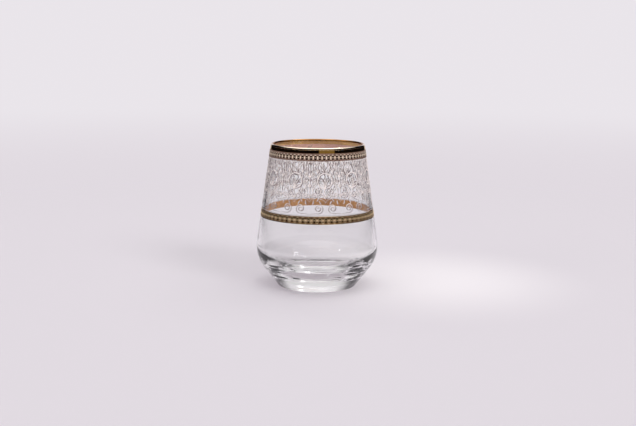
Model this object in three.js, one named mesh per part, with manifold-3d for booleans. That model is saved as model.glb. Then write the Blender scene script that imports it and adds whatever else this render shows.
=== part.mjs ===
// A stemless glass tumbler: a clear vessel with a heavy base, gilding over the lip, a plain gilt band,
// two gilt borders and a frieze of fired enamel scrolls between the borders.
// Millimetres, +Z up. The origin is on the table, at the middle of the foot.
import * as THREE from "three";
import { mergeVertices } from "three/addons/utils/BufferGeometryUtils.js";
import Module from "manifold-3d";

// Driving dimensions of the glass
const height = 101; // table to the top of the lip
const rimRadius = 33; // outside, at the lip
const rimWall = 1.6; // wall thickness at the lip, which is a full round
const bellyRadius = 43; // outside, at the widest ring
const bellyHeight = 28.5; // height of the widest ring
const bellyBend = 24.4; // outside bend between the flare and the upper wall
const bellyWall = 2.2; // wall thickness at the widest ring
const flareAngle = 37.5; // lean of the lower wall from upright, in degrees
const heelRound = 2.5; // rounding between the flare and the foot
const footWidth = 5; // width of the flat ring that stands on the table
const puntDepth = 1.2; // depth of the shallow hollow under the base
const baseThickness = 11.5; // glass between the table and the floor of the well
const wellFloorRadius = 14.8; // where that flat floor turns up into the bowl
const wellCorner = 10.5; // inside bend at the widest ring, between the bowl and the upper wall

// Driving dimensions of the decoration, counted downwards from the lip
const lipCover = 1.2; // how far the lip's gilding comes down on both sides
const lipSeam = 0.1; // between the lip's gilding and the rim band
const rimBandHeight = 2.25;
const bandSpacing = 0.5; // bare glass between the rim band and the upper border
const upperBorderHeight = 4.55;
const friezeSpacing = 0.4; // bare glass between the frieze and each border
const friezeHeight = 35.95;
const lowerBorderHeight = 5.35;
const goldThickness = 0.15;
const borderEdge = 0.6; // width of the raised line along each edge of a border
const borderRelief = 0.1; // height of that line over the border's ground
const decorGap = 0.05; // clearance between the glass and what lies on it

// Driving dimensions of the scrolls
const columns = 11; // branching stems round the glass, each followed by a wavy one
const lineWidth = 0.6;
const lineThickness = 0.2;
const lineStep = 0.15; // share of its thickness that a stem gives up to its rails, and a branch to its stem
const voluteRadius = 3.1; // outside radius of a volute, at the middle of its line
const voluteEye = 0.7; // radius where a volute ends
const voluteTurns = 1.5;
const voluteEase = 1.3; // over 1, a volute's steps are finer outside than at its eye
const voluteRows = 3;
const branchBow = 0.35; // share of the way to its volute where a branch has finished its climb
const waveSwing = 1.2; // how far a wavy stem swings to each side

// Fineness of the facets
const turnSegments = 48; // facets round the axis
const bendSteps = 10; // facets along each large bend
const roundSteps = 4; // facets along each small rounding
const branchSteps = 3;
const voluteSteps = 12;
const waveSteps = 12;

const point = (radius, z) => new THREE.Vector2(radius, z);
const direction = (angle) => point(Math.cos(angle), Math.sin(angle));

// Points on a circle in the radius and height plane, from one angle to another
function arc(centre, radius, from, to, steps) {
  return Array.from({ length: steps + 1 }, (_, i) =>
    direction(from + ((to - from) * i) / steps).multiplyScalar(radius).add(centre),
  );
}

// The angle of the normal that two circles share on their common tangent line
function sharedNormal(lower, upper, reach) {
  const between = upper.clone().sub(lower);
  return between.angle() - Math.acos(reach / between.length());
}

// The glass in section, from the middle of the underside, up the outside, over the lip and down the inside
const flare = THREE.MathUtils.degToRad(flareAngle);
const belly = point(bellyRadius - bellyBend, bellyHeight);
const lip = point(rimRadius - rimWall / 2, height - rimWall / 2);
const corner = point(bellyRadius - bellyWall - wellCorner, bellyHeight);
const flareReach = direction(-flare).dot(belly) + bellyBend;
const heel = point((flareReach - heelRound * (1 - Math.sin(flare))) / Math.cos(flare), heelRound);
const puntEdge = heel.x - footWidth;
const puntRadius = (puntEdge ** 2 + puntDepth ** 2) / (2 * puntDepth);
const puntAngle = Math.asin(puntEdge / puntRadius);
const wallLean = sharedNormal(belly, lip, bellyBend - rimWall / 2);
const innerLean = sharedNormal(corner, lip, wellCorner + rimWall / 2);
const quarter = Math.PI / 2;

// Inside, the bend of the bowl runs smoothly into the floor of the well and into the corner
const cornerOut = corner.x - wellFloorRadius;
const cornerUp = corner.y - baseThickness;
const bowlBend = (cornerOut ** 2 + cornerUp ** 2 - wellCorner ** 2) / (2 * (cornerUp - wellCorner));
const bowl = point(wellFloorRadius, baseThickness + bowlBend);
const bowlLean = Math.atan2(cornerUp - bowlBend, cornerOut);

const underside = arc(point(0, puntDepth - puntRadius), puntRadius, quarter, quarter - puntAngle, roundSteps);
const outside = [
  ...arc(heel, heelRound, -quarter, -flare, roundSteps),
  ...arc(belly, bellyBend, -flare, wallLean, bendSteps),
];
const lipRound = arc(lip, rimWall / 2, wallLean, Math.PI + innerLean, 2 * roundSteps);
const inside = [
  ...arc(corner, wellCorner, innerLean, bowlLean, roundSteps),
  ...arc(bowl, bowlBend, bowlLean, -quarter, bendSteps).slice(1),
];
underside[0].x = 0; // exactly on the axis
const glassSection = [...underside, ...outside, ...lipRound, ...inside, point(0, baseThickness)];

// The outer wall from the heel to the top of the lip, and the rest of the way down inside
const lipTop = lipRound.reduce((best, p, i) => (p.y > lipRound[best].y ? i : best), 0);
const outerWall = [...outside, ...lipRound.slice(0, lipTop + 1)];
const innerWall = [...lipRound.slice(lipTop), ...inside];

// The point at a height on a wall that climbs or falls steadily
function onWall(wall, z) {
  const i = wall.findIndex((p, k) => k > 0 && (p.y - z) * (wall[k - 1].y - z) <= 0);
  const share = (z - wall[i - 1].y) / (wall[i].y - wall[i - 1].y);
  return wall[i - 1].clone().lerp(wall[i], share);
}

// The part of the outer wall between two heights, from the bottom up
function outerStretch(low, high) {
  return [onWall(outerWall, low), ...outerWall.filter((p) => p.y > low && p.y < high), onWall(outerWall, high)];
}

// A line moved off the glass along its own normals
function offset(line, distance) {
  return line.map((p, i) => {
    const along = (line[i + 1] ?? p).clone().sub(line[i - 1] ?? p).normalize();
    return point(p.x + along.y * distance, p.y - along.x * distance);
  });
}

// The ring section of a layer laid on a stretch of the glass
function layer(line, thickness) {
  const face = offset(line, decorGap + thickness);
  const back = offset(line, decorGap).reverse();
  return [...face, ...back, face[0]];
}

// A solid of revolution about +Z from a section of radius and height
function turned(section) {
  return new THREE.LatheGeometry(section, turnSegments).rotateX(quarter);
}

// Heights where the bands begin and end
const lipLow = height - lipCover;
const rimBandTop = lipLow - lipSeam;
const rimBandLow = rimBandTop - rimBandHeight;
const upperBorderTop = rimBandLow - bandSpacing;
const upperBorderLow = upperBorderTop - upperBorderHeight;
const friezeTop = upperBorderLow - friezeSpacing;
const friezeLow = friezeTop - friezeHeight;
const lowerBorderTop = friezeLow - friezeSpacing;
const lowerBorderLow = lowerBorderTop - lowerBorderHeight;

// Gold over the lip, from the outside to the inside
function lipGilding() {
  const outer = outerStretch(lipLow, lipRound[lipTop].y);
  const inner = innerWall.filter((p, i) => i > 0 && p.y > lipLow);
  return turned(layer([...outer, ...inner, onWall(innerWall, lipLow)], goldThickness));
}

// A plain gilt band between two heights
function plainBand(low, high) {
  return turned(layer(outerStretch(low, high), goldThickness));
}

// A gilt border: a ground with a raised line along each edge
function border(low, high) {
  const raised = decorGap + goldThickness + borderRelief;
  const lowEdge = offset(outerStretch(low, low + borderEdge), raised);
  const ground = offset(outerStretch(low + borderEdge, high - borderEdge), decorGap + goldThickness);
  const topEdge = offset(outerStretch(high - borderEdge, high), raised);
  const back = offset(outerStretch(low, high), decorGap).reverse();
  return turned([...lowEdge, ...ground, ...topEdge, ...back, lowEdge[0]]);
}

// The enamel frieze
const wasm = await Module();
wasm.setup();
const friezeMiddle = onWall(outerWall, (friezeTop + friezeLow) / 2).x;
const stemSpacing = (Math.PI * friezeMiddle) / columns; // along the middle of the frieze
const rowSpacing = (friezeHeight - lineWidth) / voluteRows;

// A place on the glass: u along the middle of the frieze, v up from its foot, h off the glass
function onGlass(u, v, h) {
  const z = friezeLow + v;
  const radius = onWall(outerWall, z).x + decorGap + h;
  const angle = u / friezeMiddle;
  return new THREE.Vector3(radius * Math.cos(angle), radius * Math.sin(angle), z);
}

// A line of enamel along a path of u and v: flat below, with a ridge along its middle
function enamelLine(path, step) {
  const foot = lineThickness * step * lineStep;
  const ridge = lineThickness - foot;
  const corners = path.flatMap((p, i) => {
    const along = (path[i + 1] ?? p).clone().sub(path[i - 1] ?? p).normalize();
    const side = point(-along.y, along.x).multiplyScalar(lineWidth / 2);
    const left = p.clone().add(side);
    const right = p.clone().sub(side);
    return [onGlass(left.x, left.y, foot), onGlass(p.x, p.y, ridge), onGlass(right.x, right.y, foot)];
  });
  const faces = [0, 2, 1];
  for (let i = 0; i < path.length - 1; i++) {
    for (let k = 0; k < 3; k++) {
      const here = [3 * i + k, 3 * i + ((k + 1) % 3)];
      const next = here.map((n) => n + 3);
      faces.push(here[0], here[1], next[0], here[1], next[1], next[0]);
    }
  }
  const last = 3 * (path.length - 1);
  faces.push(last, last + 1, last + 2);
  return new THREE.BufferGeometry().setFromPoints(corners).setIndex(faces);
}

// A branch that leaves its stem, passes under its volute and winds up into it
function branch(stemU, row, side) {
  const rowFoot = lineWidth / 2 + row * rowSpacing;
  const centre = point(stemU + side * (stemSpacing / 2), rowFoot + rowSpacing / 2);
  const leave = point(stemU, rowFoot + lineWidth);
  const under = point(centre.x, centre.y - voluteRadius);
  const bow = point(THREE.MathUtils.lerp(stemU, under.x, branchBow), under.y);
  const lift = new THREE.QuadraticBezierCurve(leave, bow, under).getPoints(branchSteps);
  const winding = Array.from({ length: voluteSteps }, (_, i) => {
    const share = ((i + 1) / voluteSteps) ** voluteEase;
    const radius = THREE.MathUtils.lerp(voluteRadius, voluteEye, share);
    const angle = -quarter + share * voluteTurns * 2 * Math.PI;
    return point(centre.x + side * radius * Math.cos(angle), centre.y + radius * Math.sin(angle));
  });
  return [...lift, ...winding];
}

// A stem from the lower rail to the upper one that swings to one side for each row of volutes
function wavyStem(stemU) {
  return Array.from({ length: waveSteps + 1 }, (_, i) => {
    const share = i / waveSteps;
    const swing = waveSwing * Math.sin(share * voluteRows * Math.PI);
    return point(stemU + swing, lineWidth / 2 + share * voluteRows * rowSpacing);
  });
}

// A closed geometry as a solid that can be joined to others
function solidOf(geometry) {
  geometry.deleteAttribute("normal");
  geometry.deleteAttribute("uv");
  const merged = mergeVertices(geometry);
  const vertProperties = merged.attributes.position.array;
  const triVerts = new Uint32Array(merged.index.array);
  return new wasm.Manifold(new wasm.Mesh({ numProp: 3, vertProperties, triVerts }));
}

// The whole frieze, one net of enamel: a rail at top and bottom, the stems between and their branches
function scrollFrieze() {
  const rails = [0, friezeHeight - lineWidth].map((v) =>
    turned(layer(outerStretch(friezeLow + v, friezeLow + v + lineWidth), lineThickness)),
  );
  const stems = [];
  const branches = [];
  for (let column = 0; column < columns; column++) {
    const u = 2 * column * stemSpacing;
    stems.push([point(u, lineWidth / 2), point(u, friezeHeight - lineWidth / 2)], wavyStem(u + stemSpacing));
    for (let row = 0; row < voluteRows; row++) branches.push(branch(u, row, 1), branch(u, row, -1));
  }
  const lines = [...stems.map((path) => enamelLine(path, 1)), ...branches.map((path) => enamelLine(path, 2))];
  const solids = [...rails, ...lines].map(solidOf);
  const net = solids.reduce((whole, piece) => whole.add(piece)).getMesh();
  return new THREE.BufferGeometry()
    .setAttribute("position", new THREE.BufferAttribute(net.vertProperties, net.numProp))
    .setIndex(new THREE.BufferAttribute(net.triVerts, 1));
}

// Materials
const clearGlass = new THREE.MeshStandardMaterial({ color: 0xf2f5f4, roughness: 0.02, metalness: 0 });
clearGlass.setValues({ transparent: true, opacity: 0.35 });
const polishedGold = new THREE.MeshStandardMaterial({ color: 0xd9a441, roughness: 0.1, metalness: 1 });
const etchedGold = new THREE.MeshStandardMaterial({ color: 0xc79a52, roughness: 0.4, metalness: 1 });
const frostEnamel = new THREE.MeshStandardMaterial({ color: 0xd8d3d6, roughness: 0.6, metalness: 0 });

// The assembly
const tumbler = new THREE.Group();
function add(name, geometry, material) {
  const mesh = new THREE.Mesh(geometry, material);
  mesh.name = name;
  tumbler.add(mesh);
}

add("glass_body", turned(glassSection), clearGlass);
add("lip_gilding", lipGilding(), polishedGold);
add("rim_band", plainBand(rimBandLow, rimBandTop), polishedGold);
add("upper_border", border(upperBorderLow, upperBorderTop), etchedGold);
add("scroll_frieze", scrollFrieze(), frostEnamel);
add("lower_border", border(lowerBorderLow, lowerBorderTop), etchedGold);

export default tumbler;
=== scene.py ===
import math
import random

import bmesh
import bpy
from mathutils import Matrix, Vector, kdtree, noise


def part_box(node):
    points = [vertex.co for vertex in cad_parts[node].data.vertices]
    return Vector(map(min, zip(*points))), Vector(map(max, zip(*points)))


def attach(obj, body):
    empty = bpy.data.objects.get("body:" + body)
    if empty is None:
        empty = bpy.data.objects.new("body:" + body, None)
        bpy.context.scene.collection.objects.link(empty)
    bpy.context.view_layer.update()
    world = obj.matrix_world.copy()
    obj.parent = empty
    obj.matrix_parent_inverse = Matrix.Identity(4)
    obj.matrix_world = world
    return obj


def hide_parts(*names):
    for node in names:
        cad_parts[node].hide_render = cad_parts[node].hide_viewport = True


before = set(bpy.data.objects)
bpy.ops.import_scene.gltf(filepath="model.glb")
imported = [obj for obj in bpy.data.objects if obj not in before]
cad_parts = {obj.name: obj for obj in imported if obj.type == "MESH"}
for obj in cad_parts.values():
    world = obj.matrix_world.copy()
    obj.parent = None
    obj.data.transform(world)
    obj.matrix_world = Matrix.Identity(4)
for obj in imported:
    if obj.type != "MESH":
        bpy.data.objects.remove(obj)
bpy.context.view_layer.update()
print("frame loaded with", len(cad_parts), "nodes")

mm = 0.001
fullTurn = 2 * math.pi
rightAngle = math.pi / 2
sharpAngle = math.radians(22)   # edges sharper than this keep their crease
mergeDistance = 0.001 * mm      # points nearer than this are one


# Shader maths: a socket that can be added, multiplied and so on, and can make any other node
class Socket:
    def __init__(self, tree, output=None):
        self.tree = tree
        self.output = output

    def node(self, kind, settings=None, sockets=None, result=0):
        made = self.tree.nodes.new(kind)
        for name, value in (settings or {}).items():
            setattr(made, name, value)
        for name, value in (sockets or {}).items():
            if isinstance(value, Socket):
                self.tree.links.new(value.output, made.inputs[name])
            else:
                made.inputs[name].default_value = value
        return Socket(self.tree, made.outputs[result]) if made.outputs else None

    def sum(self, operation, first, second=0.0):
        return self.node("ShaderNodeMath", {"operation": operation}, {0: first, 1: second})

    def __add__(self, other):
        return self.sum("ADD", self, other)

    def __radd__(self, other):
        return self.sum("ADD", other, self)

    def __sub__(self, other):
        return self.sum("SUBTRACT", self, other)

    def __rsub__(self, other):
        return self.sum("SUBTRACT", other, self)

    def __mul__(self, other):
        return self.sum("MULTIPLY", self, other)

    def __rmul__(self, other):
        return self.sum("MULTIPLY", other, self)

    def larger(self, other):
        return self.sum("MAXIMUM", self, other)

    def step(self, low, high):   # 0 below low, 1 above high, smooth between
        settings = {"interpolation_type": "SMOOTHSTEP"}
        return self.node("ShaderNodeMapRange", settings, {0: self, 1: low, 2: high})

    def mix(self, first, second):   # this socket is the share of the second colour
        return self.node("ShaderNodeMix", {"data_type": "RGBA"}, {0: self, 6: first, 7: second}, 2)


def newMaterial(name):
    material = bpy.data.materials.new(name)
    material.use_nodes = True
    material.node_tree.nodes.clear()
    return material, Socket(material.node_tree)


def rgb(red, green, blue):
    return (red, green, blue, 1.0)


# A noise on the piece's own coordinates, from 0 to 1
def mottle(tree, size, detail=2.0, stretch=(1, 1, 1)):
    place = tree.node("ShaderNodeTexCoord", result="Object")
    place = tree.node("ShaderNodeMapping", sockets={"Vector": place, "Scale": stretch})
    return tree.node("ShaderNodeTexNoise", sockets={"Vector": place, "Scale": 1 / size, "Detail": detail})


# Glass
glassLook = {
    "colour": rgb(0.997, 1.0, 0.998),
    "wall": rgb(0.993, 0.985, 0.99),    # what each surface lets a lamp's light keep
    "base": rgb(0.68, 0.67, 0.68),
    "ior": 1.5,
    "cordSize": 9 * mm,                 # faint waves left by the moulding
    "cordStretch": (1, 1, 2.5),
    "cordDepth": 0.02 * mm,
    "cordRough": 0.01,
}


def clearGlass(part):
    material, tree = newMaterial("clear_glass_" + part)
    cords = mottle(tree, glassLook["cordSize"], 1.0, glassLook["cordStretch"])
    waves = tree.node("ShaderNodeBump", sockets={
        "Strength": 1.0, "Distance": glassLook["cordDepth"], "Height": cords})
    body = tree.node("ShaderNodeBsdfPrincipled", sockets={
        "Base Color": glassLook["colour"], "Roughness": cords * glassLook["cordRough"],
        "IOR": glassLook["ior"], "Transmission Weight": 1.0, "Normal": waves})
    lit = tree.node("ShaderNodeBsdfTransparent", sockets={"Color": glassLook[part]})
    lampRay = tree.node("ShaderNodeLightPath", result="Is Shadow Ray")
    both = tree.node("ShaderNodeMixShader", sockets={0: lampRay, 1: body, 2: lit})
    tree.node("ShaderNodeOutputMaterial", sockets={"Surface": both})
    return material


# Gold finishes: burnished outside, paler on the lip as a painted highlight and darker inside it as a painted
# dark reflection, the backs seen through the glass, the matt ground of each border, and the pale, warm and
# dark marks on it, the dark ones near-black as a painted dark reflection
goldLooks = {
    "bright_gold": {"light": rgb(0.9, 0.66, 0.3), "deep": rgb(0.82, 0.56, 0.22), "rough": 0.06,
                    "metal": 1.0, "grain": 6 * mm, "pit": 0.001 * mm},
    # Paler gold on the lip: a painted highlight, for the bright line the lip mirrors
    "lip_gold_painted_highlight": {"light": rgb(1.0, 0.92, 0.78), "deep": rgb(0.98, 0.84, 0.62), "rough": 0.08,
                 "metal": 1.0, "grain": 6 * mm, "pit": 0.001 * mm},
    "amber_back": {"light": rgb(0.64, 0.31, 0.085), "deep": rgb(0.5, 0.21, 0.045), "rough": 0.3,
                   "metal": 1.0, "grain": 5 * mm, "pit": 0.004 * mm},
    "lip_back": {"light": rgb(1.0, 0.6, 0.2), "deep": rgb(0.85, 0.45, 0.13), "rough": 0.3,
                 "metal": 0.6, "grain": 9 * mm, "pit": 0.004 * mm},
    "rose_back": {"light": rgb(1.0, 0.6, 0.48), "deep": rgb(0.9, 0.5, 0.4), "rough": 0.3,
                  "metal": 0.4, "grain": 7 * mm, "pit": 0.004 * mm},
    "matt_rose": {"light": rgb(0.4, 0.25, 0.19), "deep": rgb(0.22, 0.13, 0.1), "rough": 0.45,
                  "metal": 0.4, "grain": 1.5 * mm, "pit": 0.01 * mm},
    "matt_gold": {"light": rgb(0.24, 0.13, 0.06), "deep": rgb(0.1, 0.05, 0.02), "rough": 0.45,
                  "metal": 0.4, "grain": 1.5 * mm, "pit": 0.01 * mm},
    "pale_gold": {"light": rgb(1.0, 0.91, 0.76), "deep": rgb(0.98, 0.8, 0.56), "rough": 0.4,
                  "metal": 0.1, "grain": 1.5 * mm, "pit": 0.005 * mm},
    "warm_gold": {"light": rgb(1.0, 0.82, 0.52), "deep": rgb(0.95, 0.68, 0.34), "rough": 0.4,
                  "metal": 0.2, "grain": 1.5 * mm, "pit": 0.005 * mm},
    # Darker gold inside the lip: a painted dark reflection
    "lip_inside_painted_reflection": {"light": rgb(0.5, 0.26, 0.075), "deep": rgb(0.34, 0.155, 0.036), "rough": 0.12,
                   "metal": 1.0, "grain": 9 * mm, "pit": 0.001 * mm},
    # Near-black gold for the burnished dots: a painted dark reflection of the unlit room
    "gold_painted_dark_reflection": {"light": rgb(0.014, 0.009, 0.006), "deep": rgb(0.008, 0.005, 0.003), "rough": 0.35,
                  "metal": 1.0, "grain": 3 * mm, "pit": 0.001 * mm},
}
goldGrain = {
    "detail": 4.0,
    "edges": (0.35, 0.65),   # of the deeper patches
    "smooth": 0.6,           # least share of the roughness, and how much the patches add
    "rougher": 0.8,
    "pitsAcross": 12,        # pits to the width of a patch
    "pitStrength": 0.6,
}


def gold(name):
    look = goldLooks[name]
    material, tree = newMaterial(name)
    cloud = mottle(tree, look["grain"], goldGrain["detail"])
    pits = tree.node("ShaderNodeBump", sockets={
        "Strength": goldGrain["pitStrength"], "Distance": look["pit"],
        "Height": mottle(tree, look["grain"] / goldGrain["pitsAcross"])})
    rough = look["rough"] * (goldGrain["smooth"] + goldGrain["rougher"] * cloud)
    metal = tree.node("ShaderNodeBsdfPrincipled", sockets={
        "Base Color": cloud.step(*goldGrain["edges"]).mix(look["light"], look["deep"]),
        "Metallic": look["metal"], "Roughness": rough, "Normal": pits})
    tree.node("ShaderNodeOutputMaterial", sockets={"Surface": metal})
    return material


# Enamel lines: bright outside, greyer low on the wall as a painted shade, dark where they show through the
# glass as a painted shade, and the grey painted shadow beside each
frostLooks = {
    # Each low colour is the enamel painted greyer low on the wall: a painted shade
    "frost_line": {"thick": rgb(1.0, 0.91, 0.89), "thin": rgb(0.88, 0.79, 0.77),
                   "low": rgb(0.46, 0.4, 0.39)},
    # The backs of the lines, seen through the glass: a painted shade
    "frost_back_painted_shade": {"thick": rgb(0.31, 0.24, 0.24), "thin": rgb(0.44, 0.35, 0.35),
                   "low": rgb(0.34, 0.27, 0.27)},
    # The grey line beside each: a painted shadow
    "frost_painted_shadow": {"thick": rgb(0.31, 0.235, 0.235), "thin": rgb(0.16, 0.118, 0.118),
                   "low": rgb(0.26, 0.21, 0.21)},
}
frost = {
    "patch": 1.5 * mm,
    "patchDetail": 3.0,
    "patchEdges": (0.3, 0.7),
    "grain": 0.12 * mm,
    "grainDepth": 0.02 * mm,
    "grainStrength": 0.7,
    "fade": (60 * mm, 63 * mm),   # heights over which the low grey, a painted shade, gives way
    "cover": (0.8, 1.0),
    "smooth": 0.5,                # least roughness, and how much the patches add
    "rougher": 0.2,
}


def frostEnamel(name):
    look = frostLooks[name]
    material, tree = newMaterial(name)
    patch = mottle(tree, frost["patch"], frost["patchDetail"]).step(*frost["patchEdges"])
    spot = tree.node("ShaderNodeTexCoord", result="Object")
    height = tree.node("ShaderNodeSeparateXYZ", sockets={0: spot}, result="Z")
    colour = patch.mix(look["thin"], look["thick"])
    grain = tree.node("ShaderNodeBump", sockets={
        "Strength": frost["grainStrength"], "Distance": frost["grainDepth"],
        "Height": mottle(tree, frost["grain"])})
    thin, thick = frost["cover"]
    enamel = tree.node("ShaderNodeBsdfPrincipled", sockets={
        # the enamel is painted greyer low on the wall: a painted shade
        "Base Color": height.step(*frost["fade"]).mix(look["low"], colour),
        "Roughness": frost["smooth"] + frost["rougher"] * patch,
        "Alpha": thin + (thick - thin) * patch, "Normal": grain})
    tree.node("ShaderNodeOutputMaterial", sockets={"Surface": enamel})
    return material


print("finishes set out")

# The section of the glass, which the layers on it follow
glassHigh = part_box("glass_body")[1]
glass = {
    "height": glassHigh.z,
    "rimRadius": 33 * mm,
    "rimWall": 1.6 * mm,
    "bellyRadius": glassHigh.x,
    "bellyHeight": 28.5 * mm,
    "bellyBend": 24.4 * mm,
    "bellyWall": 2.2 * mm,
    "flare": math.radians(37.5),
    "heelRound": 2.5 * mm,
    "footWidth": 5 * mm,
    "puntDepth": 1.2 * mm,
    "baseThickness": 11.5 * mm,
    "floorRadius": 14.8 * mm,   # of the flat floor of the well
    "wellCorner": 10.5 * mm,    # inside bend at the widest ring
    "turnSteps": 256,
    "bendSteps": 48,
    "roundSteps": 12,
    "flareSteps": 60,
    "wallSteps": 8,
    # Level waves in the heavy base, by length, height and depth
    "ripples": ((20 * mm, 1.2 * mm, 0.3 * mm), (30 * mm, 2.4 * mm, 0.2 * mm)),
    "outerShare": 0.2,         # of their depth that the outside has
    "wellRipple": 6 * mm,      # others, every way, in the well only
    "wellDepth": 0.12 * mm,
    "rippleTop": 21 * mm,      # height where all of them have died away
    "rippleFade": 3,           # a higher power keeps them deep for longer below it
    "footFlat": 0.4 * mm,      # nothing lower than this is rippled
    "footFade": 7 * mm,        # height where they reach their full depth
    "baseTop": 9 * mm,         # height of the part that shades the table most
}


# The angle of the normal shared by two circles of a section on their common tangent
def sharedNormal(lower, upper, reach):
    between = upper - lower
    return math.atan2(between.z, between.x) - math.acos(reach / between.length)


def polar(centre, radius, angle):
    return centre + radius * Vector((math.cos(angle), 0, math.sin(angle)))


lipCentre = Vector((glass["rimRadius"] - glass["rimWall"] / 2, 0, glass["height"] - glass["rimWall"] / 2))
bellyCentre = Vector((glass["bellyRadius"] - glass["bellyBend"], 0, glass["bellyHeight"]))
cornerOut = glass["bellyRadius"] - glass["bellyWall"] - glass["wellCorner"]
cornerCentre = Vector((cornerOut, 0, glass["bellyHeight"]))
wallLean = sharedNormal(bellyCentre, lipCentre, glass["bellyBend"] - glass["rimWall"] / 2)
innerLean = sharedNormal(cornerCentre, lipCentre, glass["wellCorner"] + glass["rimWall"] / 2)
wallTop = polar(lipCentre, glass["rimWall"] / 2, wallLean)
outward = polar(Vector(), 1, wallLean)


# A place in the section of the straight upper wall, at a height and a distance off the glass
def offWall(height, distance):
    foot = Vector((wallTop.x + (wallTop.z - height) * math.tan(wallLean), 0, height))
    return foot + outward * distance


# Sections are drawn by a pen in the plane of x and z
def lineTo(bm, tip, place):
    new = bmesh.ops.extrude_vert_indiv(bm, verts=[tip])["verts"][0]
    new.co = place
    return new


# A line in even steps, so that a bend at its end doesn't shade all of it
def stepTo(bm, tip, place, steps):
    start = tip.co.copy()
    for i in range(1, steps + 1):
        tip = lineTo(bm, tip, start.lerp(place, i / steps))
    return tip


def arcTo(bm, tip, centre, turn, steps):
    made = bmesh.ops.spin(bm, geom=[tip], cent=centre, axis=(0, -1, 0), angle=turn, steps=steps)
    return made["geom_last"][0]


# Turns a section round the axis of the glass
def turnSection(bm, steps):
    bmesh.ops.spin(bm, geom=bm.verts[:] + bm.edges[:], cent=(0, 0, 0), axis=(0, 0, 1),
                   angle=fullTurn, steps=steps, use_merge=True)
    bmesh.ops.remove_doubles(bm, verts=bm.verts, dist=mergeDistance)
    bmesh.ops.recalc_face_normals(bm, faces=bm.faces)


# Repeats what is drawn so far, evenly round the axis
def repeatRound(bm, count):
    bmesh.ops.spin(bm, geom=bm.verts[:] + bm.edges[:] + bm.faces[:], cent=(0, 0, 0), axis=(0, 0, 1),
                   angle=fullTurn * (count - 1) / count, steps=count - 1, use_duplicate=True)


# Bends flat work round the glass: x goes round, y goes up and z stands off the wall
def wrapOnWall(bm, foot, radius):
    for vert in bm.verts:
        spot = offWall(foot + vert.co.y, vert.co.z)
        angle = vert.co.x / radius
        vert.co = (spot.x * math.cos(angle), spot.x * math.sin(angle), spot.z)


def joinInto(bm, other):
    carrier = bpy.data.meshes.new("carrier")
    other.to_mesh(carrier)
    other.free()
    bm.from_mesh(carrier)
    bpy.data.meshes.remove(carrier)


backShare = 0.5   # how squarely a face has to look at the axis to count as a back


# The faces that look at the glass get another finish
def markBacks(bm, index):
    bm.normal_update()
    for face in bm.faces:
        middle = face.calc_center_median()
        if face.normal.xy.dot(middle.xy) < -backShare * middle.xy.length:
            face.material_index = index


def finishPiece(bm, name, node, materials):
    for face in bm.faces:
        face.smooth = True
    mesh = bpy.data.meshes.new(name)
    bm.to_mesh(mesh)
    bm.free()
    mesh.set_sharp_from_angle(angle=sharpAngle)
    piece = bpy.data.objects.new(name, mesh)
    bpy.context.scene.collection.objects.link(piece)
    for material in materials:
        mesh.materials.append(material)
    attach(piece, "root")
    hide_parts(node)
    print(name, "made with", len(mesh.polygons), "faces")


def makeGlass():
    flare = glass["flare"]
    flareReach = bellyCentre.dot(polar(Vector(), 1, -flare)) + glass["bellyBend"]
    heelOut = (flareReach - glass["heelRound"] * (1 - math.sin(flare))) / math.cos(flare)
    heel = Vector((heelOut, 0, glass["heelRound"]))
    puntEdge = heelOut - glass["footWidth"]
    puntRadius = (puntEdge ** 2 + glass["puntDepth"] ** 2) / (2 * glass["puntDepth"])
    bend, small = glass["bendSteps"], glass["roundSteps"]
    bm = bmesh.new()
    tip = bm.verts.new((0, 0, glass["puntDepth"]))
    tip = arcTo(bm, tip, (0, 0, glass["puntDepth"] - puntRadius), -math.asin(puntEdge / puntRadius), small)
    tip = lineTo(bm, tip, polar(heel, glass["heelRound"], -rightAngle))
    tip = arcTo(bm, tip, heel, rightAngle - flare, small)
    tip = stepTo(bm, tip, polar(bellyCentre, glass["bellyBend"], -flare), glass["flareSteps"])
    tip = arcTo(bm, tip, bellyCentre, flare + wallLean, bend)
    tip = stepTo(bm, tip, wallTop, glass["wallSteps"])
    tip = arcTo(bm, tip, lipCentre, math.pi + innerLean - wallLean, 2 * small)
    tip = stepTo(bm, tip, polar(cornerCentre, glass["wellCorner"], innerLean), glass["wallSteps"])
    across = cornerCentre.x - glass["floorRadius"]   # the bowl's bend meets the corner and the floor smoothly
    drop = cornerCentre.z - glass["baseThickness"]
    bowl = (across ** 2 + drop ** 2 - glass["wellCorner"] ** 2) / (2 * (drop - glass["wellCorner"]))
    meet = math.atan2(drop - bowl, across)
    tip = arcTo(bm, tip, cornerCentre, meet - innerLean, small)
    tip = arcTo(bm, tip, (glass["floorRadius"], 0, glass["baseThickness"] + bowl), -rightAngle - meet, bend)
    stepTo(bm, tip, Vector((0, 0, tip.co.z)), 2 * small)
    turnSection(bm, glass["turnSteps"])
    bm.normal_update()
    for vert in bm.verts:
        if glass["footFlat"] < vert.co.z < glass["rippleTop"]:
            fade = 1 - (vert.co.z / glass["rippleTop"]) ** glass["rippleFade"]
            fade *= min(1, vert.co.z / glass["footFade"])
            depth = 0
            for long, high, deep in glass["ripples"]:
                depth += deep * noise.noise((vert.co.x / long, vert.co.y / long, vert.co.z / high))
            if vert.normal.z > 0:
                depth += glass["wellDepth"] * noise.noise(vert.co / glass["wellRipple"])
            else:
                depth *= glass["outerShare"]
            vert.co += vert.normal * depth * fade
    for face in bm.faces:
        face.material_index = int(face.calc_center_median().z < glass["baseTop"])
    finishPiece(bm, "glassBody", "glass_body", [clearGlass("wall"), clearGlass("base")])


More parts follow.
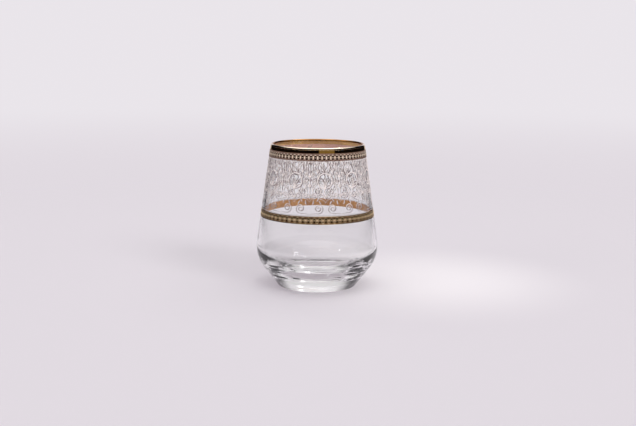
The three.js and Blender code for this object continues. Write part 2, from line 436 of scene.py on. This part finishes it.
# Gold layers
layers = {
    "gap": 0.03 * mm,          # between the glass and what lies on it
    "thickness": 0.12 * mm,
    "edge": 0.05 * mm,         # softening of a layer's outer edges
    "lipInside": 1.2 * mm,     # how far below the top the lip's gold ends inside
    "turnSteps": 256,
}
goldFace = layers["gap"] + layers["thickness"]


# The section of a flat layer between two heights and two distances off the glass
def layerSection(bm, low, high, back, front):
    inner = bm.verts.new(offWall(low, back))
    lowEdge = lineTo(bm, inner, offWall(low, front))
    highEdge = lineTo(bm, lowEdge, offWall(high, front))
    bm.edges.new((lineTo(bm, highEdge, offWall(high, back)), inner))
    bmesh.ops.bevel(bm, geom=[lowEdge, highEdge], offset=layers["edge"], offset_type="OFFSET",
                    affect="VERTICES", segments=2, profile=0.5, material=-1)


def makeRimBand(materials):
    low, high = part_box("rim_band")
    bm = bmesh.new()
    layerSection(bm, low.z, high.z, layers["gap"], goldFace)
    turnSection(bm, layers["turnSteps"])
    markBacks(bm, 1)
    finishPiece(bm, "rimBand", "rim_band", materials)


def makeLipGilding(materials):
    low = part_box("lip_gilding")[0].z
    insideLow = glass["height"] - layers["lipInside"]
    turn = math.pi + innerLean - wallLean
    innerOut = polar(Vector(), 1, math.pi + innerLean)   # off the inner wall, towards the axis
    innerTop = polar(lipCentre, glass["rimWall"] / 2, math.pi + innerLean)
    innerLow = polar(innerTop, (innerTop.z - insideLow) / math.cos(innerLean), innerLean - rightAngle)
    bm = bmesh.new()
    first = bm.verts.new(offWall(low, goldFace))
    tip = stepTo(bm, first, wallTop + outward * goldFace, glass["wallSteps"])
    tip = arcTo(bm, tip, lipCentre, turn, 2 * glass["roundSteps"])
    tip = stepTo(bm, tip, innerLow + innerOut * goldFace, glass["wallSteps"])
    tip = lineTo(bm, tip, innerLow + innerOut * layers["gap"])
    tip = lineTo(bm, tip, innerTop + innerOut * layers["gap"])
    tip = arcTo(bm, tip, lipCentre, -turn, 2 * glass["roundSteps"])
    tip = lineTo(bm, tip, offWall(low, layers["gap"]))
    bm.edges.new((tip, first))
    turnSection(bm, layers["turnSteps"])
    markBacks(bm, 1)
    for face in bm.faces:   # the outer half of the rounding gets the pale painted highlight, the inside the painted dark reflection
        middle = face.calc_center_median()
        if middle.xy.length < lipCentre.x:
            face.material_index = 3
        elif middle.z < wallTop.z and not face.material_index:
            face.material_index = 2
    finishPiece(bm, "lipGilding", "lip_gilding", materials)


# Each mark of a border's ornament is repeated round it. It is given by its place round as a share of the
# pitch, its height over the middle line, half length and half width in mm, its turn in degrees, its share of
# the full rise, and its finish.
borders = {
    "upper": {"node": "upper_border", "name": "upperBorder", "reaches": "rim_band", "repeats": 72,
              "fillet": 0.5 * mm, "filletFinish": 2, "footFinish": 2,
              "marks": (
                  (0.5, 0.8, 0.76, 0.58, 0, 0.2, 4), (0.5, -0.84, 0.76, 0.58, 0, 0.2, 4),
                  (0, 0, 0.56, 0.56, 0, 1, 3),
                  (0, 0.82, 0.4, 0.3, 90, 0.8, 3), (0, -0.82, 0.4, 0.3, 90, 0.8, 3),
                  (0.2, 0.42, 0.36, 0.2, 30, 0.8, 2), (-0.2, -0.42, 0.36, 0.2, 30, 0.8, 2),
                  (0.2, -0.42, 0.36, 0.2, -30, 0.8, 2), (-0.2, 0.42, 0.36, 0.2, -30, 0.8, 2),
                  (0.5, 0, 0.34, 0.17, 0, 0.8, 3),
                  (0, 1.55, 0.42, 0.22, 0, 0.2, 4), (0.5, 1.72, 0.56, 0.3, 0, 1, 3),
                  (0, -1.7, 0.42, 0.32, 0, 0.2, 4), (0.5, -1.85, 0.3, 0.24, 0, 0.2, 4))},
    "lower": {"node": "lower_border", "name": "lowerBorder", "reaches": None, "repeats": 64,
              "fillet": 0.5 * mm, "filletFinish": 0, "footFinish": 0,
              "marks": (
                  (0.5, 1.0, 0.98, 0.66, 0, 0.2, 4), (0.5, -1.0, 0.98, 0.62, 0, 0.2, 4),
                  (0.5, 1.84, 0.48, 0.26, 0, 1, 3), (0, 0, 0.56, 0.36, 0, 1, 3), (0.5, 0, 0.5, 0.2, 0, 1, 3),
                  (0.2, 0.6, 0.6, 0.16, 42, 0.8, 3), (-0.2, -0.6, 0.6, 0.16, 42, 0.8, 3),
                  (0.2, -0.6, 0.6, 0.16, -42, 0.8, 3), (-0.2, 0.6, 0.6, 0.16, -42, 0.8, 3),
                  (0, 1.5, 0.5, 0.4, 0, 0.2, 4), (0, -1.7, 0.46, 0.22, 0, 1, 3))},
    "filletRise": 0.08 * mm,   # height of the raised line along each edge
    "filletRoot": 0.02 * mm,   # how far it goes down into the ground
    "rise": 0.14 * mm,         # height of a mark over the ground
    "root": 0.01 * mm,
    "sides": 8,                # of a mark, round and from top to bottom
    "rings": 4,
}


# Half a stretched ball, lying on the ground of a border: a petal, boss, bead or burnished dot, whose
# near-black gold is a painted dark reflection
def addDome(bm, across, up, length, width, turn, rise, finish):
    place = Matrix.Translation((across, up, goldFace)) @ Matrix.Rotation(turn, 4, "Z")
    shape = place @ Matrix.Diagonal((length, width, rise * borders["rise"], 1))
    verts = bmesh.ops.create_uvsphere(bm, u_segments=borders["sides"], v_segments=borders["rings"], radius=1,
                                      matrix=shape)["verts"]
    faces = {face for vert in verts for face in vert.link_faces}
    edges = {edge for vert in verts for edge in vert.link_edges}
    ground = (0, 0, goldFace - borders["root"])
    cut = bmesh.ops.bisect_plane(bm, geom=[*verts, *edges, *faces], plane_co=ground, plane_no=(0, 0, 1),
                                 clear_inner=True)
    for part in cut["geom"]:
        if isinstance(part, bmesh.types.BMFace):
            part.material_index = finish


def makeBorder(which, materials):
    low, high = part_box(which["node"])
    middle = (low.z + high.z) / 2
    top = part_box(which["reaches"])[0].z if which["reaches"] else high.z
    girth = offWall(middle, goldFace).x
    pitch = fullTurn * girth / which["repeats"]
    bm = bmesh.new()
    for across, up, length, width, turn, rise, finish in which["marks"]:
        addDome(bm, across * pitch, up * mm, length * mm, width * mm, math.radians(turn), rise, finish)
    wrapOnWall(bm, middle, girth)
    repeatRound(bm, which["repeats"])
    for edge, finish in ((low.z, which["footFinish"]), (top - which["fillet"], which["filletFinish"])):
        ring = bmesh.new()
        root = goldFace - borders["filletRoot"]
        layerSection(ring, edge, edge + which["fillet"], root, goldFace + borders["filletRise"])
        turnSection(ring, layers["turnSteps"])
        for face in ring.faces:
            face.material_index = finish
        joinInto(bm, ring)
    ground = bmesh.new()
    layerSection(ground, low.z, top, layers["gap"], goldFace)
    turnSection(ground, layers["turnSteps"])
    for face in ground.faces:
        face.material_index = 2
    markBacks(ground, 1)
    joinInto(bm, ground)
    finishPiece(bm, which["name"], which["node"], materials)


# The enamel scrolls. A volute springs from a straight stem or from the wavy one half a column away,
# and is given by the height where it leaves, its place across from that stem and up, and its radius.
frieze = {
    "columns": 11,
    "lineWidth": 0.6 * mm,
    "lineHeight": 0.12 * mm,
    "shadeAside": 0.42 * mm,   # each line has a grey painted shadow beside it, as though cut
    "shadeDrop": 0.4,          # how far it lies lower, as a share of that
    "shadeWidth": 0.62,
    "stemVolutes": ((1.2, 5.9, 4.9, 3.3), (9.4, 3.0, 13.6, 2.2),
                    (17.6, 2.9, 21.8, 2.1), (24.6, 2.4, 27.6, 1.5)),
    "waveVolutes": ((8.6, 2.7, 13.4, 2.4),),
    "medallion": (23.2 * mm, 5.0 * mm),   # height and radius of the ring on each wavy stem
    "ringSteps": 20,
    "sprig": (0.42, 0.95),     # how far the side leaves in it lean either way
    "sprigReach": 1.6,         # length of its middle leaf, as a share of the ring's radius
    "eye": 0.2,                # share of a volute's radius where it ends
    "turns": 1.7,
    "windPower": 0.85,         # under 1, so it winds in faster at first
    "windSteps": 26,
    "stalkTurn": 0.4,          # share of the way across where a volute's stalk turns level
    "stem": (11 * mm, 33 * mm),
    "stemSteps": 40,
    "waveSwing": 0.7 * mm,
    "leafPairs": (12.4, 18.8, 25.2),   # heights of leaves along each stem
    "leafLength": 2.6 * mm,
    "leafFan": ((0.45, 1.0), (0.95, 0.8)),   # lean of each leaf of a pair's side, and share of that length
    "leafBend": (0.6, 3),      # share of its length where a leaf bends, and how much less it leans there
    "leafSteps": 4,
    "leafOff": 0.1 * mm,       # from the stem to a leaf's foot
    "leafDrop": 0.9,           # how much lower those of the wavy stem are
    "fillSeed": 5,
    "fillTries": 1800,         # spots tried for the small commas that fill the ground
    "fillClear": 1.0 * mm,     # how far those keep from the scrolls
    "fillApart": 1.5 * mm,     # and from one another
    "fillLength": 2.9 * mm,
    "fillUpright": 1.5,        # how much they lean towards upright
    "fillBend": 1.4,           # over 1, so they bend away from the scroll
    "fillSteps": 3,
    "fillFrom": 7 * mm,        # height where they begin, thinly, and where they are at their closest
    "fillFull": 13 * mm,
    "lancet": (2.5 * mm, 29.6 * mm),   # half width, and height of the feet, of the pointed arches at the top
    "lancetBend": 0.6,
    "lancetLeaves": (-0.5, 0, 0.5),
    "lancetLeafLength": 4.2 * mm,
    "lancetLeafDrop": 1.5 * mm,
    "railWidth": 0.3 * mm,
    "pens": {                  # widths along each kind of line, as shares of the line's width
        "stem": (0.4, 1.0, 0.7),
        "volute": (0.15, 0.6, 1.0, 0.8, 0.9),
        "leaf": (0.5, 1.3, 1.0, 0.2),
        "ring": (1.7, 1.7),
        "lancet": (0.4, 1.0, 0.8),
        "comma": (0.3, 1.0, 0.6),
    },
}


def windIn(centre, radius, side):
    path = []
    for i in range(frieze["windSteps"] + 1):
        share = i / frieze["windSteps"]
        reach = radius * (1 + (frieze["eye"] - 1) * share ** frieze["windPower"])
        angle = frieze["turns"] * fullTurn * share - rightAngle
        path.append(centre + reach * Vector((side * math.cos(angle), math.sin(angle))))
    return path


def bowed(start, control, end, steps=6):
    shares = [i / steps for i in range(steps + 1)]
    return [start.lerp(control, t).lerp(control.lerp(end, t), t) for t in shares]


# One line of enamel, and the grey painted shadow beside it
def stroke(curve, path, pen):
    widths = frieze["pens"][pen]
    last = len(path) - 1
    # the second pass is the grey painted shadow, set aside and lower
    for finish, aside, share in ((0, 0, 1), (2, frieze["shadeAside"], frieze["shadeWidth"])):
        spline = curve.splines.new("POLY")
        spline.material_index = finish
        spline.points.add(last)
        for i, place in enumerate(path):
            along = i / last * (len(widths) - 1)
            k = min(int(along), len(widths) - 2)
            spline.points[i].co = (place.x + aside, place.y - frieze["shadeDrop"] * aside, 0, 1)
            spline.points[i].radius = share * (widths[k] + (widths[k + 1] - widths[k]) * (along - k))


def volute(curve, leave, centre, radius, side):
    under = centre - Vector((0, radius))
    lift = bowed(leave, Vector((leave.x + frieze["stalkTurn"] * (under.x - leave.x), under.y)), under)
    stroke(curve, lift[:-1] + windIn(centre, radius, side), "volute")


def leaf(curve, foot, lean, length):   # leans to one side or the other of upright
    share, less = frieze["leafBend"]
    tip = foot + length * Vector((math.sin(lean), math.cos(lean)))
    control = foot + share * length * Vector((math.sin(lean / less), math.cos(lean / less)))
    stroke(curve, bowed(foot, control, tip, frieze["leafSteps"]), "leaf")


def drawColumn(curve, half, tall):
    line = frieze["lineWidth"]
    foot, top = frieze["stem"]
    shares = [i / frieze["stemSteps"] for i in range(frieze["stemSteps"] + 1)]
    stroke(curve, [Vector((0, foot + t * (top - foot))) for t in shares], "stem")
    ringHeight, ringRadius = frieze["medallion"]
    ringFoot = Vector((half, ringHeight - ringRadius))
    for low, high in ((foot, ringFoot.y), (ringHeight + ringRadius, top)):
        wave = [half + frieze["waveSwing"] * math.sin(fullTurn * t) for t in shares]
        stroke(curve, [Vector((across, low + t * (high - low))) for across, t in zip(wave, shares)], "stem")
    sprigLength = frieze["sprigReach"] * ringRadius
    leaf(curve, ringFoot, 0, sprigLength)
    for side in (-1, 1):
        for leave, across, up, radius in frieze["stemVolutes"]:
            volute(curve, Vector((0, leave * mm)), Vector((side * across, up)) * mm, radius * mm, side)
        for leave, across, up, radius in frieze["waveVolutes"]:
            centre = Vector((side * (half - across * mm), up * mm))
            volute(curve, Vector((side * half, leave * mm)), centre, radius * mm, -side)
        for height in frieze["leafPairs"]:
            for lean, size in frieze["leafFan"]:
                length = size * frieze["leafLength"]
                leaf(curve, Vector((side * frieze["leafOff"], height * mm)), side * lean, length)
                foot = Vector((side * (half - frieze["leafOff"]), (height - frieze["leafDrop"]) * mm))
                if abs(foot.y - ringHeight) > ringRadius + frieze["leafLength"]:
                    leaf(curve, foot, -side * lean, length)
        middle = Vector((side * half, ringHeight))
        turns = [math.pi * i / frieze["ringSteps"] for i in range(frieze["ringSteps"] + 1)]
        ring = [middle + ringRadius * Vector((-side * math.sin(t), -math.cos(t))) for t in turns]
        stroke(curve, ring, "ring")
        for lean in frieze["sprig"]:   # each leaf ends well inside the ring
            leaf(curve, Vector((side * half, ringFoot.y)), -side * lean, sprigLength * math.cos(lean))
        wide, feet = frieze["lancet"]
        peak = Vector((side * half / 2, tall - line))
        for edge in (-1, 1):
            foot = Vector((peak.x + edge * wide, feet))
            bend = Vector((foot.x, feet + frieze["lancetBend"] * (peak.y - feet)))
            stroke(curve, bowed(foot, bend, peak), "lancet")
        for lean in frieze["lancetLeaves"]:
            foot = Vector((peak.x, feet - frieze["lancetLeafDrop"]))
            leaf(curve, foot, lean, frieze["lancetLeafLength"])


# Commas lie along the nearest scroll, wherever there is room for one
def fillGround(curve, half, tall):
    drawn = [point.co.xyz for spline in curve.splines for point in spline.points]
    scrolls = kdtree.KDTree(len(drawn))
    for i, place in enumerate(drawn):
        scrolls.insert(place, i)
    scrolls.balance()
    dice = random.Random(frieze["fillSeed"])
    ringHeight, ringRadius = frieze["medallion"]
    ringMiddle = Vector((half, ringHeight, 0))
    taken = []
    margin = frieze["fillClear"]   # so that a comma never meets its own mirror image
    for i in range(frieze["fillTries"]):
        spot = Vector((dice.uniform(margin, half - margin), dice.uniform(frieze["fillFrom"], tall), 0))
        nearest, _, distance = scrolls.find(spot)
        # twice as far apart where they begin
        thin = max(1, 2 - (spot.y - frieze["fillFrom"]) / (frieze["fillFull"] - frieze["fillFrom"]))
        crowded = any((spot - other).length < thin * frieze["fillApart"] for other in taken)
        inRing = (spot - ringMiddle).length < ringRadius + frieze["fillClear"]
        if distance < frieze["fillClear"] or crowded or inRing:
            continue
        taken.append(spot)
        along = (spot - nearest).xy.orthogonal().normalized()
        upright = Vector((0, math.copysign(frieze["fillUpright"], along.y)))
        along = (along + upright).normalized() * frieze["fillLength"] / 2
        for side in (-1, 1):
            ends = [Vector((side * (spot.x + way * along.x), spot.y + way * along.y)) for way in (-1, 1)]
            bend = Vector((side * nearest.x, nearest.y))
            bend = bend.lerp(Vector((side * spot.x, spot.y)), frieze["fillBend"])
            stroke(curve, bowed(ends[0], bend, ends[1], frieze["fillSteps"]), "comma")
    print("frieze ground filled with", 2 * len(taken), "commas to a column")


def makeFrieze(materials):
    low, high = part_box("scroll_frieze")
    floor, line, tall = layers["gap"], frieze["lineWidth"], high.z - low.z
    girth = offWall((low.z + high.z) / 2, floor).x
    half = math.pi * girth / frieze["columns"]
    curve = bpy.data.curves.new("scrolls", "CURVE")
    curve.dimensions = "3D"
    curve.twist_mode = "Z_UP"
    curve.bevel_depth = line / 2
    curve.bevel_resolution = 0
    curve.use_fill_caps = True
    for material in materials:
        curve.materials.append(material)
    drawColumn(curve, half, tall)
    fillGround(curve, half, tall)
    drawing = bpy.data.objects.new("scrolls", curve)
    bpy.context.scene.collection.objects.link(drawing)
    mesh = bpy.data.meshes.new_from_object(drawing.evaluated_get(bpy.context.evaluated_depsgraph_get()))
    bm = bmesh.new()
    bm.from_mesh(mesh)
    bpy.data.objects.remove(drawing)
    bpy.data.curves.remove(curve)
    bpy.data.meshes.remove(mesh)
    for vert in bm.verts:   # flat below, with a low ridge
        vert.co.z = floor + max(0, vert.co.z) * 2 * frieze["lineHeight"] / line
    wrapOnWall(bm, low.z, girth)
    repeatRound(bm, frieze["columns"])
    rails = bmesh.new()
    for edge in (low.z, high.z - frieze["railWidth"]):
        layerSection(rails, edge, edge + frieze["railWidth"], floor, floor + frieze["lineHeight"])
    turnSection(rails, layers["turnSteps"])
    joinInto(bm, rails)
    bmesh.ops.recalc_face_normals(bm, faces=bm.faces)
    # the backs of the lines get the painted shade
    markBacks(bm, 1)
    finishPiece(bm, "scrollFrieze", "scroll_frieze", materials)


makeGlass()
brightGold = gold("bright_gold")
roseBack = gold("rose_back")
amberBack = gold("amber_back")
lipBack = gold("lip_back")
# The lip's pale gold is a painted highlight, and the gold inside it a painted dark reflection
makeLipGilding([gold("lip_gold_painted_highlight"), lipBack, brightGold, gold("lip_inside_painted_reflection")])
makeRimBand([brightGold, lipBack])
paleGold = gold("pale_gold")
# The borders' dark dots are gold with a painted dark reflection
paintedDarkGold = gold("gold_painted_dark_reflection")
makeBorder(borders["upper"], [brightGold, roseBack, gold("matt_rose"), paleGold, paintedDarkGold])
makeBorder(borders["lower"], [brightGold, amberBack, gold("matt_gold"), gold("warm_gold"), paintedDarkGold])
makeFrieze([frostEnamel(name) for name in frostLooks])

# The studio: a floor that is seamless with what lies beyond it, an even soft light from above, a key light
# from the front and right, a weak one from the left, and an unlit room behind the camera, which polished gold
# mirrors
studio = {
    "paper": rgb(0.75, 0.702, 0.75),
    "paperPaintedPool": rgb(0.92, 0.87, 0.905),   # painted lighter: a painted pool of light beside the glass
    "pool": (0.08, 0.015, 0),
    "poolReach": (0.01, 0.13),
    "paperFar": rgb(0.82, 0.785, 0.825),
    "ceiling": rgb(0.74, 0.72, 0.74),
    "backdrop": rgb(0.7, 0.68, 0.69),   # as lenses show it, over the floor's far edge
    "backdropEdge": (0.04, 0.12),
    "under": rgb(0.68, 0.64, 0.68),   # light that reaches the floor bent through the glass
    "fill": 0.22,              # light from all round
    "floorRadius": 6.0,
    "floorSides": 128,
    "blend": (0.28, 0.55),     # distances over which the floor becomes the background
    "lighten": (0.5, 2.0),     # distances over which that grows a little lighter
}
# The room as mirrors show it, with only the backdrop bright, and as lenses do, with the sides and front dark:
# how far round from the back, or to a side, it changes, and how high up it turns bright
rooms = {
    "mirror": {"edge": (0.86, 0.94), "above": (0.6, 0.8), "dark": rgb(0.005, 0.004, 0.005)},
    "lens": {"middle": 0.04, "edge": (0.38, 0.63), "front": (-0.4, 0.0), "above": (0.72, 0.92),
             "dark": rgb(0.04, 0.038, 0.042)},
}


# What lies far off one way; both rooms are bright above
def mirrorColour(parts):
    above = parts["z"].step(*rooms["mirror"]["above"])
    share = parts["y"].step(*rooms["mirror"]["edge"]).larger(above)
    return share.mix(rooms["mirror"]["dark"], studio["paper"])


def lensColour(parts):
    across = parts["x"] - rooms["lens"]["middle"]
    side = across.sum("ABSOLUTE", across).step(*rooms["lens"]["edge"])
    level = (1 - side) * parts["y"].step(*rooms["lens"]["front"])
    back = parts["z"].step(*studio["backdropEdge"]).mix(studio["paperFar"], studio["backdrop"])
    above = parts["z"].step(*rooms["lens"]["above"])
    return above.mix(level.mix(rooms["lens"]["dark"], back), studio["ceiling"])


# The same for every kind of ray that isn't the camera's own
def farColour(tree, way, other):
    isGlossy = tree.node("ShaderNodeLightPath", result="Is Glossy Ray")
    isThrough = tree.node("ShaderNodeLightPath", result="Is Transmission Ray")
    parts = {}
    for axis in "xyz":
        parts[axis] = tree.node("ShaderNodeSeparateXYZ", sockets={0: way}, result=axis.upper())
    colour = isGlossy.mix(other, mirrorColour(parts))
    return isThrough.mix(colour, lensColour(parts))


# 1 where a ray has already left a matt surface
def fromMatt(tree):
    bounces = tree.node("ShaderNodeLightPath", result="Diffuse Depth")
    return tree.sum("GREATER_THAN", bounces, 0.5)   # one or more of them


def makeFloor():
    bm = bmesh.new()
    bmesh.ops.create_circle(bm, cap_ends=True, segments=studio["floorSides"], radius=studio["floorRadius"])
    mesh = bpy.data.meshes.new("floor")
    bm.to_mesh(mesh)
    bm.free()
    floor = bpy.data.objects.new("floor", mesh)
    bpy.context.scene.collection.objects.link(floor)
    material, tree = newMaterial("pale_paper")
    spot = tree.node("ShaderNodeTexCoord", result="Object")
    away = tree.node("ShaderNodeVectorMath", {"operation": "LENGTH"}, {0: spot}, "Value")
    way = tree.node("ShaderNodeVectorMath", {"operation": "NORMALIZE"}, {0: spot})
    offPool = tree.node("ShaderNodeVectorMath", {"operation": "DISTANCE"},
                        {0: spot, 1: studio["pool"]}, "Value")
    # The paper is painted lighter near the glass: a painted pool of light
    paperWithPaintedPool = offPool.step(*studio["poolReach"]).mix(studio["paperPaintedPool"], studio["paper"])
    far = farColour(tree, way, away.step(*studio["lighten"]).mix(paperWithPaintedPool, studio["paperFar"]))
    paper = tree.node("ShaderNodeBsdfDiffuse", sockets={"Color": paperWithPaintedPool})
    beyond = tree.node("ShaderNodeEmission", sockets={"Color": far, "Strength": 1.0})
    both = tree.node("ShaderNodeMixShader", sockets={0: away.step(*studio["blend"]), 1: paper, 2: beyond})
    tree.node("ShaderNodeOutputMaterial", sockets={"Surface": both})
    mesh.materials.append(material)


def makeWorld():
    world = bpy.data.worlds.new("studio")
    bpy.context.scene.world = world
    world.use_nodes = True
    world.node_tree.nodes.clear()
    tree = Socket(world.node_tree)
    isCamera = tree.node("ShaderNodeLightPath", result="Is Camera Ray")
    isThrough = tree.node("ShaderNodeLightPath", result="Is Transmission Ray")
    fromPaper = isThrough * fromMatt(tree)   # the glass already lets lamps' light by
    way = tree.node("ShaderNodeTexCoord", result="Generated")
    colour = farColour(tree, way, rgb(*[studio["fill"]] * 3))
    colour = fromPaper.mix(colour, studio["under"])
    colour = isCamera.mix(colour, studio["paperFar"])
    shade = tree.node("ShaderNodeBackground", sockets={"Color": colour, "Strength": 1.0})
    tree.node("ShaderNodeOutputWorld", sockets={"Surface": shade})


softbox = {"height": 3.0, "size": 6.0, "glow": 1.03}
suns = {   # angles in degrees
    "keyLight": {"azimuth": 42, "elevation": 32, "width": 22, "strength": 1.15, "shadow": True},
    "sideLight": {"azimuth": -62, "elevation": 8, "width": 40, "strength": 0.5, "shadow": False},
}


def makeLights():
    box = bpy.data.lights.new("softbox", "AREA")
    box.size = softbox["size"]
    box.energy = softbox["glow"] * math.pi * softbox["size"] ** 2
    above = bpy.data.objects.new("softbox", box)
    above.location.z = softbox["height"]
    above.visible_camera = False
    lamps = [above]
    for name, look in suns.items():
        sun = bpy.data.lights.new(name, "SUN")
        sun.angle = math.radians(look["width"])
        sun.energy = look["strength"]
        sun.use_shadow = look["shadow"]
        lamp = bpy.data.objects.new(name, sun)
        tilt = rightAngle - math.radians(look["elevation"])
        lamp.rotation_euler = (tilt, 0, math.radians(look["azimuth"]))
        lamp.visible_glossy = False
        lamps.append(lamp)
    for lamp in lamps:
        lamp.visible_transmission = False
        bpy.context.scene.collection.objects.link(lamp)


# Dim cards beside the camera and small bright ones all round, which only gold and glass show: azimuth and
# elevation ranges in degrees
cards = {
    "warmCard": {"azimuth": (3, 40), "elevation": (2, 15), "glow": rgb(0.21, 0.165, 0.1)},
    "coolCard": {"azimuth": (-36, -4), "elevation": (2, 12), "glow": rgb(0.02, 0.017, 0.02)},
    "leftSpot": {"azimuth": (-35.5, -33), "elevation": (4.0, 4.8), "glow": rgb(14, 14, 14)},
    "rightSpot": {"azimuth": (39.3, 41), "elevation": (3.6, 4.3), "glow": rgb(14, 14, 14)},
    "highStrip": {"azimuth": (135, 146), "elevation": (60.5, 63), "glow": rgb(9, 9, 9)},
    "lowStrip": {"azimuth": (146, 168), "elevation": (55, 57), "glow": rgb(12, 12, 12)},
}
cardDistance = 1.6
cardSteps = 8


def makeCard(name, look):
    turn = [math.radians(a) for a in look["azimuth"]]
    rise = [cardDistance * math.tan(math.radians(a)) for a in look["elevation"]]
    bm = bmesh.new()
    foot = bm.verts.new((cardDistance * math.sin(turn[0]), -cardDistance * math.cos(turn[0]), rise[0]))
    bmesh.ops.spin(bm, geom=[foot], cent=(0, 0, 0), axis=(0, 0, 1), angle=turn[1] - turn[0], steps=cardSteps)
    wall = bmesh.ops.extrude_edge_only(bm, edges=bm.edges[:])["geom"]
    verts = [part for part in wall if isinstance(part, bmesh.types.BMVert)]
    bmesh.ops.translate(bm, verts=verts, vec=(0, 0, rise[1] - rise[0]))
    mesh = bpy.data.meshes.new(name)
    bm.to_mesh(mesh)
    bm.free()
    card = bpy.data.objects.new(name, mesh)
    bpy.context.scene.collection.objects.link(card)
    material, tree = newMaterial(name)
    colour = fromMatt(tree).mix(look["glow"], rgb(0, 0, 0))   # none of it lights the floor
    shine = tree.node("ShaderNodeEmission", sockets={"Color": colour, "Strength": 1.0})
    tree.node("ShaderNodeOutputMaterial", sockets={"Surface": shine})
    mesh.materials.append(material)
    card.visible_camera = card.visible_diffuse = card.visible_shadow = False
    card.visible_transmission = rise[0] > cardDistance   # the high ones also show through the wall


camera = {
    "place": (0.0005, -0.6998, 0.1717),
    "tilt": 80.253,            # degrees from looking straight down
    "roll": 0.46,
    "lens": 56.57,
}


def makeCamera():
    data = bpy.data.cameras.new("camera")
    data.lens = camera["lens"]
    eye = bpy.data.objects.new("camera", data)
    bpy.context.scene.collection.objects.link(eye)
    tilt = Matrix.Rotation(math.radians(camera["tilt"]), 4, "X")
    roll = Matrix.Rotation(math.radians(camera["roll"]), 4, "Z")
    eye.matrix_world = Matrix.Translation(camera["place"]) @ tilt @ roll
    bpy.context.scene.camera = eye


makeFloor()
makeWorld()
makeLights()
for name, look in cards.items():
    makeCard(name, look)
makeCamera()
bpy.context.scene.view_settings.view_transform = "Standard"
paths = bpy.context.scene.cycles   # light turns back many times inside the heavy base
paths.max_bounces = paths.transmission_bounces = paths.transparent_max_bounces = 32
paths.glossy_bounces = 7
print("studio made")
